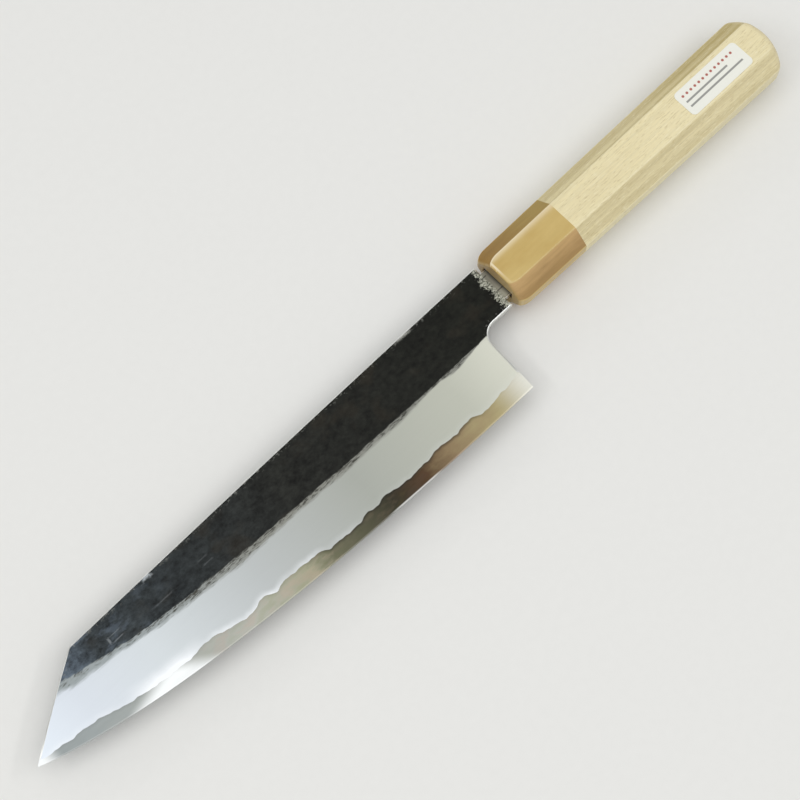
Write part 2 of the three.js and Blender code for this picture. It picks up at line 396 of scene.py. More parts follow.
# Blade: outline, grind and layers, as on the solids
blade = {
    "edgeLength": 210, "pointRise": 20.7, "edgeDrop": 35.4, "heelFlat": 53, "bellyRun": 47.6,
    "bellyDrop": 18.3, "spineRise": 9.8, "spineFall": 1.9, "clipRun": 33.8, "clipBulge": 1.2,
    "heelSetback": 16.1, "heelLean": 0.7, "throatDrop": 9.2, "choilRadius": 6,
    "neckGap": 2.2, "neckTop": 6.7, "neckBottom": 5.9, "neckRun": 7, "tangLength": 95, "tangEnd": 5,
    "spineThickness": 3, "cornerThickness": 1.8, "footHeight": 0.6, "footThickness": 0.44,
    "edgeThickness": 0.16, "grindDrop": 12.1, "grindLift": 4.1, "grindSweep": 7, "grindSwell": 0.25,
    "coreShare": 0.34, "coverReach": 11.8,
    # worked rim of the claddings: its round, and how much of the layer it may take
    "rimRadius": 0.5, "rimRings": 3, "rimMost": 0.85, "thinnest": 0.006, "wearReach": 3, "leastBand": 0.3,
    # fineness of the meshes and of the lines they follow
    "columns": 280, "choilColumns": 8, "throatColumns": 6, "shoulderRows": (2, 6, 2), "grindRows": 12,
    "stripRows": 4, "bevelRows": 2, "edgeSteps": 2000, "rimStep": 0.02, "clipSteps": 60,
    "spineSteps": 200, "choilSteps": 40, "coreSmooth": 6, "cladSmooth": 40,
    # marks on the seen side: from x, to x, from y, to y, how much of the scale is gone
    "marks": [
        (-183.1, -181.9, -1.7, 1.6, 0.26), (-182.7, -176.5, 0.6, 1.2, 0.15),
        (-182.7, -176.5, -1.7, -1.1, 0.17), (-161.2, -156.6, 6.6, 10, 0.75),
        (-42.4, -33.4, 8.2, 10.6, 0.7), (-32.6, -26.6, 8.8, 10.6, 0.4),
        (-165, -154.5, -2.5, -1.8, 0.09), (-144.2, -138.6, -1.1, -0.4, 0.07),
        (-143.6, -137.8, -3.3, -2.6, 0.08),
    ],
    # scratches on the neck: height, half length
    "scratches": [(-2.1, 2.6), (4.8, 1.4)],
    # small waves along the lamination line: height, turn in a millimetre, start
    "waver": [(0.13, 0.83, 0), (0.1, 1.37, 2), (0.07, 2.23, 1)],
    # share of the way from heel to point, height of the lamination line above the edge
    "lamination": [
        (0, 7), (0.04, 6), (0.09, 5), (0.11, 6.6), (0.137, 6.5), (0.15, 5.8), (0.183, 6.6), (0.221, 5.7),
        (0.263, 5.3), (0.308, 6.4), (0.333, 5.3), (0.345, 6.1), (0.37, 4.7), (0.427, 4.8), (0.451, 6.2),
        (0.515, 6.3), (0.543, 5), (0.563, 6.4), (0.595, 4.2), (0.631, 4.8), (0.657, 5.9), (0.684, 6),
        (0.706, 4.6), (0.776, 3.9), (0.838, 4.1), (0.873, 4.9), (0.908, 4.6), (0.931, 3.5), (1, 1.6),
    ],
    # where the black scale ends, and where the grind has cleared the last of it: share, height
    "scaleFoot": [
        (0, -11.2), (0.1, -11.2), (0.3, -10.6), (0.38, -9.8), (0.5, -9), (0.57, -8), (0.63, -7.1),
        (0.7, -5.9), (0.745, -4.9), (0.79, -3.2), (0.84, -1), (0.9, 1.8), (1, 6),
    ],
    "groundTop": [
        (0, -11.4), (0.075, -13.1), (0.11, -12), (0.21, -13), (0.28, -12.5), (0.325, -12.8), (0.375, -11.9),
        (0.47, -11.6), (0.54, -11.5), (0.63, -9.9), (0.7, -8.5), (0.76, -6.4), (0.8, -5), (0.87, -3.6),
        (0.9, -1.7), (1, 2),
    ],
}
shoulderX = -blade["neckGap"]
heelX = shoulderX - blade["heelSetback"]
heelY = -blade["edgeDrop"]
pointX = heelX - math.sqrt(blade["edgeLength"] ** 2 - blade["pointRise"] ** 2)
pointY = blade["pointRise"] - blade["edgeDrop"]
cornerX = pointX + blade["clipRun"]
cornerY = blade["spineRise"] - blade["spineFall"]
choilX = heelX + blade["heelLean"] + blade["choilRadius"]
choilY = -blade["throatDrop"] - blade["choilRadius"]
edgePoints = [
    flat(pointX, pointY), flat(pointX + blade["bellyRun"], pointY - blade["bellyDrop"]),
    flat(heelX - blade["heelFlat"], heelY), flat(heelX, heelY),
]
edgeLine = [bezier(edgePoints, share) for share in evenShares(blade["edgeSteps"])]
edgeXs = [p.x for p in edgeLine]
clipPoints = [
    flat(cornerX, cornerY), flat((cornerX + pointX) / 2 - blade["clipBulge"], (cornerY + pointY) / 2),
    flat(pointX, pointY),
]


def along(x):
    return unit((heelX - x) / (heelX - pointX))


def knotted(knots, share):
    i = interval([at for at, _ in knots], share)
    (fromShare, low), (toShare, high) = knots[i - 1], knots[i]
    return mix(low, high, eased((share - fromShare) / (toShare - fromShare)))


def edgeY(x):
    i = interval(edgeXs, x)
    a, b = edgeLine[i - 1], edgeLine[i]
    return mix(a.y, b.y, unit((x - a.x) / (b.x - a.x)))


def footY(x):
    return edgeY(x) + blade["footHeight"]


def laminationY(x):
    waver = sum(height * math.sin(turn * x + start) for height, turn, start in blade["waver"])
    return edgeY(x) + knotted(blade["lamination"], along(x)) + waver


def grindY(x):
    share = along(x)
    return blade["grindLift"] * share + blade["grindSweep"] * share ** 4 - blade["grindDrop"]


def spineY(x):
    return blade["spineRise"] - blade["spineFall"] * unit((shoulderX - x) / (shoulderX - cornerX)) ** 2


def flatHalf(x):
    taper = (blade["spineThickness"] - blade["cornerThickness"]) / 2 / (shoulderX - cornerX)
    return blade["spineThickness"] / 2 - max(0, shoulderX - x) * taper


def bladeHalf(x, y):
    foot, low = blade["footThickness"] / 2, footY(x)
    if y < low:
        return mix(blade["edgeThickness"] / 2, foot, (y - edgeY(x)) / blade["footHeight"])
    share = min((y - low) / (grindY(x) - low), 1)
    return mix(foot, flatHalf(x), share * (1 + blade["grindSwell"] * (1 - share)))


def coreHalf(x, y):
    line = laminationY(x)
    if y <= line:
        return bladeHalf(x, y)
    share = (y - line) / (blade["coverReach"] - line)
    return mix(bladeHalf(x, line), flatHalf(x) * blade["coreShare"], share)


# Where the clip, from the corner to the point, meets a line along the blade
def clipShare(lineY):
    low, high = 0.0, 1.0
    while high - low > 1e-12:
        share = (low + high) / 2
        p = bezier(clipPoints, share)
        low, high = (share, high) if p.y > lineY(p.x) else (low, share)
    return (low + high) / 2


def onHeel(y):
    return flat(heelX + blade["heelLean"] * (y - heelY) / (choilY - heelY), y)


def onChoil(angle):
    radius = blade["choilRadius"]
    return flat(choilX - radius * math.cos(angle), choilY + radius * math.sin(angle))


def clipRun(fromShare, toShare, shares):
    return [bezier(clipPoints, mix(fromShare, toShare, share)) for share in shares]


def choilRun(fromAngle, toAngle, shares):
    return [onChoil(mix(fromAngle, toAngle, share)) for share in shares]


def lineRun(lineY, fromX, toX, shares):
    return [flat(x, lineY(x)) for x in (mix(fromX, toX, share) for share in shares)]


evenColumns = evenShares(blade["columns"])
clipGrind, clipLine, clipFoot = clipShare(grindY), clipShare(laminationY), clipShare(footY)
grindAngle = math.asin((-blade["grindDrop"] - choilY) / blade["choilRadius"])
grindStart, grindEnd = bezier(clipPoints, clipGrind).x, onChoil(grindAngle).x
heelLine = onHeel(laminationY(heelX))
heelFoot = onHeel(heelY + blade["footHeight"])
grindRun = lineRun(grindY, grindStart, grindEnd, evenColumns)
laminationRun = lineRun(laminationY, bezier(clipPoints, clipLine).x, heelLine.x, evenColumns)
footRun = lineRun(footY, bezier(clipPoints, clipFoot).x, heelFoot.x, evenColumns)
edgeRun = lineRun(edgeY, pointX, heelX, evenColumns)


# A grid primitive stretched between four lines: the foot and top run to the handle, the sides run up
def patch(name, foot, top, left, right, columnShares, rowShares):
    bpy.ops.object.select_all(action="DESELECT")
    wide, tall = len(columnShares) - 1, len(rowShares) - 1
    bpy.ops.mesh.primitive_grid_add(x_subdivisions=wide, y_subdivisions=tall, size=2)
    made = bpy.context.object
    made.name = name
    for vertex in made.data.vertices:
        i = round((vertex.co.x + 1) / 2 * wide)
        j = round((vertex.co.y + 1) / 2 * tall)
        u, v = columnShares[i], rowShares[j]
        spot = foot[i].lerp(top[i], v) + left[j].lerp(right[j], u)
        vertex.co = spot - foot[0].lerp(foot[-1], u).lerp(top[0].lerp(top[-1], u), v)
    return made


# A patch between two lines from the clip to the heel
def bandPatch(name, foot, top, clipEnds, heelSide, count):
    rows = evenShares(count)
    return patch(name, foot, top, clipRun(*clipEnds, rows), spaced(heelSide, count), evenColumns, rows)


# Flat above the grind; rows of its shoulder lie where the neck begins and ends
def flatPatch():
    stops = (-blade["throatDrop"], -blade["neckBottom"], blade["neckTop"], blade["spineRise"])
    heights = [stops[0]]
    for low, high, count in zip(stops, stops[1:], blade["shoulderRows"]):
        heights += [mix(low, high, share) for share in evenShares(count)[1:]]
    rows = [(y - heights[0]) / (heights[-1] - heights[0]) for y in heights]
    arc = choilRun(grindAngle, math.pi / 2, evenShares(blade["choilColumns"]))
    throatXs = [mix(choilX, shoulderX, share) for share in evenShares(blade["throatColumns"])]
    foot = grindRun + arc[1:] + [flat(x, -blade["throatDrop"]) for x in throatXs[1:]]
    columns = [(p.x - foot[0].x) / (shoulderX - foot[0].x) for p in foot]
    top = lineRun(spineY, cornerX, shoulderX, columns)
    shoulder = [flat(shoulderX, y) for y in heights]
    return patch("bladeFlat", foot, top, clipRun(clipGrind, 0, rows), shoulder, columns, rows)


def inNeck(p):
    return abs(p.x - shoulderX) < near and -blade["neckBottom"] - near < p.y < blade["neckTop"] + near


# The neck and tang grow out of the middle of the shoulder; the tang ends in a wedge as long as it is high
def growTang(sheet):
    editEdges(sheet, inNeck)
    tangTip = blade["tangLength"]
    stops = (shoulderX, blade["neckRun"], tangTip - blade["tangEnd"], tangTip)
    for fromX, toX in zip(stops, stops[1:]):
        bpy.ops.mesh.extrude_region_move(TRANSFORM_OT_translate={"value": (toX - fromX, 0, 0)})
    objectMode()
    middle = (blade["neckTop"] - blade["neckBottom"]) / 2
    for vertex in sheet.data.vertices:
        left = tangTip - vertex.co.x
        if left < blade["tangEnd"] + near:
            vertex.co.y = left * (vertex.co.y - middle) / (blade["neckTop"] + blade["neckBottom"])
    weld(sheet, weldGap)


# Everything above the lamination line as one flat sheet, for all three layers
def bladeSheet():
    heel = [heelLine] + choilRun(0, grindAngle, evenShares(blade["choilColumns"]))
    grind = bandPatch("bladeGrind", laminationRun, grindRun, (clipLine, clipGrind), heel, blade["grindRows"])
    sheet = joined(flatPatch(), grind)
    weld(sheet, weldGap)
    growTang(sheet)
    return sheet


# Close outline points, to tell how near the worked rim a point is
def rimTree():
    neckEnd, neckTop, neckFoot = blade["neckRun"], blade["neckTop"], -blade["neckBottom"]
    clip = clipRun(clipLine, 0, evenShares(blade["clipSteps"]))
    spine = lineRun(spineY, cornerX, shoulderX, evenShares(blade["spineSteps"]))
    choil = choilRun(math.pi / 2, 0, evenShares(blade["choilSteps"]))
    upper = [flat(shoulderX, blade["spineRise"]), flat(shoulderX, neckTop), flat(neckEnd, neckTop)]
    lower = [flat(neckEnd, neckFoot), flat(shoulderX, neckFoot), flat(shoulderX, -blade["throatDrop"])]
    points = []
    for line in (clip + spine, upper, lower + choil + [heelLine]):
        length = sum((b - a).length for a, b in zip(line, line[1:]))
        points += spaced(line, round(length / blade["rimStep"]))
    tree = kdtree.KDTree(len(points))
    for i, p in enumerate(points):
        tree.insert(p, i)
    tree.balance()
    return tree


rimSpots = rimTree()


def rimDistance(x, y):
    return rimSpots.find((x, y, 0))[2]


def rimDrop(distance):
    radius = blade["rimRadius"]
    if distance >= radius:
        return 0
    return radius - math.sqrt(radius ** 2 - (radius - distance) ** 2)


def claddingTop(x, y):
    half = bladeHalf(x, y)
    cover = half - coreHalf(x, y)
    most = max(0, min(blade["rimMost"] * cover, cover - blade["thinnest"]))
    return half - min(rimDrop(rimDistance(x, y)), most)


# A sheet made solid between two heights and set in place
def layered(sheet, upperAt, lowerAt):
    editAll(sheet, "FACE")
    bpy.ops.mesh.extrude_region_move(TRANSFORM_OT_translate={"value": (0, 0, 1)})
    objectMode()
    for vertex in sheet.data.vertices:
        x, y, lift = vertex.co
        vertex.co.z = upperAt(x, y) if round(lift) else lowerAt(x, y)
    weld(sheet, weldGap)
    for vertex in sheet.data.vertices:
        vertex.co = place(*vertex.co)


def overEdge(x, y):
    return y - edgeY(x)


def acrossBand(x, y):
    # 0 where the ground part ends, 1 where the black scale begins
    ground = knotted(blade["groundTop"], along(x))
    width = knotted(blade["scaleFoot"], along(x)) - ground
    return (y - ground) / max(width, blade["leastBand"])


# For the finishes, at each point: share along, a measure across, height over the lamination line
def layOut(obj, across):
    lay = obj.data.attributes.new("lay", "FLOAT_VECTOR", "POINT")
    for i, vertex in enumerate(obj.data.vertices):
        x, y = design(vertex.co)
        lay.data[i].vector = (along(x), across(x, y), y - laminationY(x))


def wearOut(obj):
    wear = obj.data.attributes.new("wear", "FLOAT", "POINT")
    for i, vertex in enumerate(obj.data.vertices):
        wear.data[i].value = max(0, 1 - rimDistance(*design(vertex.co)) / blade["wearReach"])


def onGrindLine(spot):
    x, y = design(spot)
    return grindStart < x < grindEnd and abs(y - grindY(x)) < near


ironTones = {
    "haze": [
        (0.0, (212, 213, 200)), (0.1, (186, 188, 176)), (0.32, (163, 166, 159)), (0.54, (178, 182, 182)),
        (0.74, (199, 205, 208)), (0.88, (202, 208, 215)), (1.0, (214, 222, 230)),
    ],
    "black": [
        (0.0, (25, 26, 21)), (0.42, (35, 36, 33)), (0.62, (43, 47, 48)), (0.81, (55, 61, 64)),
        (0.86, (90, 101, 112)), (1.0, (112, 124, 140)),
    ],
    "flecks": [(0.36, (84, 84, 74)), (0.5, (164, 166, 152)), (0.64, (216, 216, 202))],
    "lit": (232, 235, 238), "cool": (124, 138, 154), "rusty": (56, 50, 40), "chipped": (156, 157, 150),
    "scrapedHeel": (184, 184, 176), "scrapedPoint": (198, 205, 210), "shreds": (72, 72, 67),
    "baredHeel": (136, 137, 130), "baredPoint": (148, 155, 156), "neckFoot": (168, 167, 153),
    "neckTop": (144, 142, 130), "neckShade": (64, 61, 57), "scratch": (60, 58, 54),
}


# Ground part: hazy, brighter beside the lamination line and towards the point, partly as painted reflection
def groundIron(spot, share, above):
    drifting = spot.cloud((75, 75, 75), detail=3, shift=7.0)
    glow = (1 - above.step(-0.6, 2.6)) * (drifting.step(0.32, 0.68) * 0.45 + 0.12)
    glow = glow * (0.25 + share.step(0.3, 0.5) * 0.75 + share.window(0.42, 0.54, 0.62, 0.7) * 0.9)
    # painted reflection: a glint on the belly beside the lamination line
    glint = share.window(0.67, 0.735, 0.77, 0.84) * (1 - above.step(0.3, 5.5))
    return (glow + glint).least(1).between(share.ramp(ironTones["haze"]), ironTones["lit"])


# Black scale: bluer and more mottled towards the point, chipped along the rim, scraped off at the marks
def blackScale(spot, share, wear, seen):
    mottle = spot.cloud((95, 120, 500), detail=5, rough=0.6)
    crust = spot.cloud((420, 520, 700), detail=4, rough=0.65, shift=6.0)
    wisp = spot.cloud((150, 300, 900), detail=4, rough=0.6, shift=1.7)
    rusty = spot.cloud((70, 90, 500), detail=3, shift=9.0)
    chips = spot.cloud((800, 950, 900), detail=3, rough=0.65, shift=5.0)
    frayed = spot.cloud((700, 900, 900), detail=3, rough=0.65, shift=8.0)
    scale = (1 + (mottle - 0.5) * 1.7 + (crust - 0.5) * 2.6).dim(share.ramp(ironTones["black"]))
    scale = (wisp.step(0.48, 0.68) * share.step(0.6, 0.9) * 0.4).between(scale, ironTones["cool"])
    scale = (rusty.step(0.56, 0.72) * 0.3).between(scale, ironTones["rusty"])
    scale = (chips.step(0.55, 0.66) * wear.step(0.15, 0.95) * 0.5).between(scale, ironTones["chipped"])
    scraped = share.step(0.3, 0.7).between(ironTones["scrapedHeel"], ironTones["scrapedPoint"])
    east, north = spot.offset(mouthX, axisY)
    for fromX, toX, fromY, toY, gone in blade["marks"]:
        offX = (east - (fromX + toX) / 2).size() / ((toX - fromX) / 2)
        offY = (north - (fromY + toY) / 2).size() / ((toY - fromY) / 2)
        inside = 1 - (offX.most(offY) + (frayed - 0.5) * 1.4).step(0.2, 1.1)
        scale = (inside * seen * gone).between(scale, scraped)
    return scale


# Band where the grind runs out: bared iron with shreds of scale left in it
def raggedBand(spot, share, band):
    shreds = spot.cloud((430, 2100, 500), detail=3, rough=0.6, shift=4.0)
    shreds = shreds - band * 0.16 + share.step(0.6, 0.85) * 0.1
    bared = share.step(0.45, 0.8).between(ironTones["baredHeel"], ironTones["baredPoint"])
    return shreds.step(0.26, 0.5).between(ironTones["shreds"], bared)


# Bare neck: filed across, flecked beside the shoulders, darker at the ferrule
def bareNeck(spot, seen):
    east, north = spot.offset(mouthX, axisY)
    filed = spot.cloud((2600, 120, 300), detail=2)
    crumbs = spot.cloud((1500, 1700, 900), detail=2, rough=0.6, shift=3.0)
    neck = (0.8 + filed * 0.4).dim(north.step(-6, 3).between(ironTones["neckFoot"], ironTones["neckTop"]))
    neck = east.beside(-4.2, 1.0, 2.6).between(neck, crumbs.ramp(ironTones["flecks"]))
    neck = (east.step(-1.4, 0.1) * 0.4).between(neck, ironTones["neckShade"])
    for row, length in blade["scratches"]:
        scratch = north.beside(row, 0.12, 0.32) * east.beside(-2.6, length - 0.2, length + 0.2)
        neck = (scratch * seen * 0.7).between(neck, ironTones["scratch"])
    return neck


# 1 on the neck, up to a lobed and flaked line beside the shoulders
def neckMask(spot):
    east, north = spot.offset(mouthX, axisY)
    flake = spot.cloud((900, 1100, 900), detail=3, rough=0.6)
    swing = (north - 3) * (math.pi / 4)
    lobes = swing.maths("COSINE", swing)
    reach = east + 4.6 + lobes * 0.6 + (flake - 0.5) * 7 - north.step(5.5, 7.5) * 0.5
    return reach.step(-0.4, 0.4)


def cladFinish():
    finish, spot = newFinish("cladIron")
    share, band, above = spot.attribute("lay").parts()
    wear = spot.attribute("wear", "Fac")
    seen = (spot.part(2) - axisZ).step(0, 0.0001)
    brushed = spot.cloud((60, 5200, 900), detail=3)
    soft = spot.cloud((45, 130, 400), detail=3, shift=3.0)
    fray = spot.cloud((380, 1500, 500), detail=3, rough=0.6)
    streaks = spot.cloud((230, 1900, 500), detail=4, rough=0.6, shift=2.0)
    blacked = (band + (fray - 0.5) * 0.5).step(0.87, 1.04)
    cleared = 1 - (band + (streaks - 0.5) * 0.9).step(-0.22, 0.36)
    bare = neckMask(spot)
    ground = (0.94 + brushed * 0.05 + soft * 0.08).dim(groundIron(spot, share, above))
    colour = cleared.between(raggedBand(spot, share, band), ground)
    colour = blacked.between(colour, blackScale(spot, share, wear, seen))
    colour = bare.between(colour, bareNeck(spot, seen))
    forged = spot.cloud((260, 260, 400), detail=3, shift=4.0)
    lumps = (forged * blacked).bump(0.25, 0.00012)
    return closeFinish(finish, {
        "Base Color": colour, "Metallic": (1 - blacked * (1 - bare)) * 0.85 + 0.1,
        "Roughness": 0.36 + blacked * 0.1 + soft * 0.08, "Normal": brushed.bump(0.04, 0.00003, lumps),
        "Specular IOR Level": 0.14,
    })


steelTones = {
    "stain": [
        (0.06, (166, 155, 117)), (0.17, (133, 115, 88)), (0.235, (77, 60, 45)), (0.3, (54, 52, 43)),
        (0.43, (101, 100, 82)), (0.48, (148, 147, 126)), (0.6, (162, 163, 154)), (0.9, (141, 147, 147)),
    ],
    "reddish": (186, 140, 120), "greenish": (120, 132, 84), "shade": (50, 48, 44), "heel": (218, 218, 208),
    "glare": (223, 226, 226), "spine": (206, 206, 200), "honed": (226, 227, 224), "rim": (236, 237, 233),
}


def rimFinish():
    finish, spot = newFinish("rimSteel")
    lines = spot.cloud((900, 900, 2400), detail=3)
    worn = spot.cloud((120, 300, 300), detail=3, rough=0.6)
    return closeFinish(finish, {
        "Base Color": (0.76 + lines * 0.16 + worn * 0.3).dim(steelTones["rim"]), "Metallic": 1.0,
        "Roughness": 0.24 + worn * 0.16, "Normal": lines.bump(0.06, 0.00004),
    })


# Core: stained brown in the middle of the edge, greyer towards the point, bright at the heel; painted
# reflection on the belly and the point
def coreFinish():
    finish, spot = newFinish("edgeSteel")
    share, height, above = spot.attribute("lay").parts()
    cloudy = spot.cloud((70, 260, 300), detail=3, rough=0.55)
    stained = spot.cloud((130, 260, 300), detail=4, rough=0.6, shift=4.0)
    lines = spot.cloud((50, 6000, 900), detail=3)
    colour = (share + (stained - 0.5) * 0.09).ramp(steelTones["stain"])
    toned = share.window(0.05, 0.12, 0.64, 0.72) * (0.03 + share.step(0.4, 0.47) * 0.1)
    colour = (stained.step(0.48, 0.62) * toned).between(colour, steelTones["reddish"])
    colour = ((1 - stained.step(0.38, 0.52)) * toned).between(colour, steelTones["greenish"])
    shade = above.step(-1.3, -0.1) * share.step(0.06, 0.14) * (1 - share.step(0.4, 0.5) * 0.8)
    colour = (shade * 0.55).between(colour, steelTones["shade"])
    # painted reflection: a whiter patch on the belly and a whiter point
    belly = (share - height * 0.008).step(0.66, 0.72) * (1 - (share + height * 0.012).step(0.795, 0.86))
    colour = belly.most(share.step(0.955, 0.99)).between(colour, steelTones["glare"])
    colour = (1 - share.step(-0.01, 0.075)).between(colour, steelTones["heel"])
    # the strip that shows along the spine has no stain
    colour = above.step(1, 3).between(colour, steelTones["spine"])
    colour = (0.82 + cloudy * 0.26 + lines * 0.08).dim(colour)
    # the last bevel is freshly honed, most of all in front of the heel
    honed = (1 - height.step(0.25, 0.6)) * (0.12 + share.window(0.2, 0.23, 0.29, 0.33) * 0.5)
    colour = honed.between(colour, steelTones["honed"])
    return closeFinish(finish, {
        "Base Color": colour, "Metallic": 1.0, "Roughness": 0.24 + cloudy * 0.12,
        "Normal": lines.bump(0.04, 0.00003),
    })


def makeCore(sheet):
    core = copied(sheet, "coreSteel")
    heelEnd = flat(heelX, heelY)
    strip = bandPatch(
        "edgeStrip", footRun, laminationRun, (clipFoot, clipLine), [heelFoot, heelLine], blade["stripRows"]
    )
    bevel = bandPatch("edgeBevel", edgeRun, footRun, (1, clipFoot), [heelEnd, heelFoot], blade["bevelRows"])
    joined(core, strip, bevel)
    weld(core, weldGap)
    layered(core, coreHalf, lambda x, y: -coreHalf(x, y))
    smoothed(core, blade["coreSmooth"])
    layOut(core, overEdge)
    core.data.materials.append(coreFinish())
    return core


def makeFace(sheet):
    face = copied(sheet, "claddingFace")
    # narrow rings along the rim, to round it over
    editAll(face, "FACE")
    turns = [1 - math.cos(math.pi / 2 * share) for share in evenShares(blade["rimRings"])]
    for fromTurn, toTurn in zip(turns, turns[1:]):
        width = (toTurn - fromTurn) * blade["rimRadius"]
        bpy.ops.mesh.inset(thickness=width, use_boundary=True, use_even_offset=True)
    objectMode()
    layered(face, claddingTop, coreHalf)
    face.data.materials.append(cladFinish())
    face.data.materials.append(rimFinish())
    limit = blade["rimRadius"] + near
    for polygon in face.data.polygons:
        spots = [design(face.data.vertices[k].co) for k in polygon.vertices]
        polygon.material_index = 1 if all(rimDistance(x, y) < limit for x, y in spots) else 0
    smoothed(face, blade["cladSmooth"])
    editEdges(face, onGrindLine)
    bpy.ops.mesh.mark_sharp()
    objectMode()
    layOut(face, acrossBand)
    wearOut(face)
    return face


def makeBack(face):
    back = copied(face, "claddingBack")
    for vertex in back.data.vertices:
        vertex.co.z = 2 * axisZ - vertex.co.z
    editAll(back, "FACE")
    bpy.ops.mesh.normals_make_consistent(inside=False)
    objectMode()
    return back


def makeBlade():
    sheet = bladeSheet()
    face = makeFace(sheet)
    core = makeCore(sheet)
    back = makeBack(face)  # copied while the face has no marks yet
    standFor(core, "core_steel")
    standFor(face, "cladding_face")
    standFor(back, "cladding_back")
    bpy.data.objects.remove(sheet)


makeBlade()
print("blade layered")

# Handle: one octagonal section, tapered, with softened corners
handle = {
    "length": 135.8, "ferruleLength": 31.5, "frontHeight": 24, "buttHeight": 26.5, "frontThickness": 17,
    "buttThickness": 19.5, "frontBevel": 6.05, "buttBevel": 6.4, "cornerRadius": 1.1, "buttRise": 8.4,
    # front of the ferrule: how far it draws in, over what length, where that fades
    "easeHeight": 2.4, "easeHeightRun": 5, "easeHeightFade": 5, "easeThickness": 0.7,
    "easeThicknessRun": 1.3, "easeThicknessFade": 2, "mouthRound": 0.35,
    # slot for the tang, and tenon in the ferrule's bore
    "slotTop": 7.3, "slotBottom": -6.5, "slotHalf": 2.1, "slotEnd": 97, "tenonFront": 13.5,
    "tenonWall": 1.8, "tenonCorner": 2.5, "glueGap": 0.3,
    # rolled rim of the butt, and where the rings of the wood lie
    "rimRound": 2.2, "rimSteps": 8, "rimPasses": 20, "bodyRings": (0.2, 0.4, 0.6, 0.8, 0.93),
    "domeRings": (0.84, 0.68, 0.52, 0.38, 0.24, 0.12, 0),
    "stepsAcross": 4, "mouthRings": 2, "easeRings": 12, "cornerFade": 0.6, "smooth": 40,
}
stepsAcross = handle["stepsAcross"]
quarterSteps = 5 * stepsAcross  # half a flat, a corner, a slanting flat, a corner, half a flat
ringCount = 4 * quarterSteps
cornerMiddles = (1.5 * stepsAcross, 3.5 * stepsAcross)
slotMiddle = (handle["slotTop"] + handle["slotBottom"]) / 2


def mirrored(quarter):
    # from the quarter between +y and +z to the whole ring
    half = quarter + [(-y, z) for y, z in reversed(quarter[:-1])]
    return half[:-1] + [(-y, -z) for y, z in half[:-1]]


def straight(a, b):
    return [a.lerp(b, share) for share in evenShares(stepsAcross)[1:]]


def octagonRing(x):
    share = x / handle["length"]
    height = mix(handle["frontHeight"], handle["buttHeight"], share) / 2
    thick = mix(handle["frontThickness"], handle["buttThickness"], share) / 2
    bevel = mix(handle["frontBevel"], handle["buttBevel"], share)
    radius = handle["cornerRadius"]
    reach = radius * math.tan(math.pi / 8)
    corners = (flat(height - radius, thick - bevel - reach), flat(height - bevel - reach, thick - radius))
    quarter = [flat(height, 0)]
    for number, middle in enumerate(corners):
        turns = [math.pi / 4 * (number + share) for share in evenShares(stepsAcross)]
        arc = [middle + flat(math.cos(turn), math.sin(turn)) * radius for turn in turns]
        quarter += straight(quarter[-1], arc[0]) + arc[1:]
    quarter += straight(quarter[-1], flat(0, thick))
    return mirrored([(p.x, p.y) for p in quarter])


def ease(x, size, run):
    return size * (1 - math.sqrt(1 - unit(1 - x / run) ** 2))


def easedRing(x):
    inY = ease(x, handle["easeHeight"], handle["easeHeightRun"])
    inZ = ease(x, handle["easeThickness"], handle["easeThicknessRun"])
    pulled = []
    for y, z in octagonRing(x):
        pullY = inY * min(abs(y) / handle["easeHeightFade"], 1)
        pullZ = inZ * min(abs(z) / handle["easeThicknessFade"], 1)
        pulled.append((y - math.copysign(pullY, y), z - math.copysign(pullZ, z)))
    return pulled


def slotRing(grow=0.0):
    height, thick = handle["slotTop"] - slotMiddle + grow, handle["slotHalf"] + grow
    shares = evenShares(quarterSteps // 2)
    quarter = [(height, thick * share) for share in shares]
    quarter += [(height * (1 - share), thick) for share in shares[1:]]
    return [(y + slotMiddle, z) for y, z in mirrored(quarter)]


def tenonRing(gap):
    height = max(handle["slotTop"], -handle["slotBottom"]) + handle["tenonWall"] + gap
    thick = handle["slotHalf"] + handle["tenonWall"] + gap
    corner = handle["tenonCorner"] + gap
    turns = [math.pi / 2 * share for share in evenShares(2 * stepsAcross)]
    line = [flat(height, 0)]
    line += [flat(height - corner * (1 - math.cos(t)), thick - corner * (1 - math.sin(t))) for t in turns]
    line.append(flat(0, thick))
    return mirrored([(p.x, p.y) for p in spaced(line, quarterSteps)])


def loop(x, ring):
    return [(x, y, z) for y, z in ring]


# A circle drawn out ring by ring, each set to its own outline; kinds say how much side, rim and end it has
def ringed(name, loops, kinds):
    bpy.ops.object.select_all(action="DESELECT")
    bpy.ops.mesh.primitive_circle_add(vertices=ringCount, radius=1)
    made = bpy.context.object
    made.name = name
    editAll(made, "EDGE")
    for _ in loops[1:]:
        bpy.ops.mesh.extrude_region_move(TRANSFORM_OT_translate={"value": (0, 0, 1)})
    objectMode()
    # for the finishes: the softened corners, then the slanting flats, then the ends
    cut = made.data.attributes.new("cut", "FLOAT_VECTOR", "POINT")
    for i, vertex in enumerate(made.data.vertices):
        k = round(math.atan2(vertex.co.y, vertex.co.x) / (2 * math.pi) * ringCount) % ringCount
        number, step = round(vertex.co.z), k % quarterSteps
        vertex.co = place(*loops[number][k])
        side, rim, end = kinds[number]
        corner = max(0, 1 - handle["cornerFade"] * min(abs(step - middle) for middle in cornerMiddles))
        slanting = 2 * stepsAcross <= step <= 3 * stepsAcross
        cut.data[i].vector = (max(rim, side * corner), side * slanting, end)
    weld(made, weldGap * mm)
    smoothed(made, handle["smooth"])
    applied(made, "WEIGHTED_NORMAL", keep_sharp=True)
    return made


def domeX(y, z):
    girth = math.hypot(handle["buttHeight"], handle["buttThickness"]) / 2
    radius = (girth ** 2 + handle["buttRise"] ** 2) / (2 * handle["buttRise"])
    return handle["length"] - radius + math.sqrt(radius ** 2 - y * y - z * z)


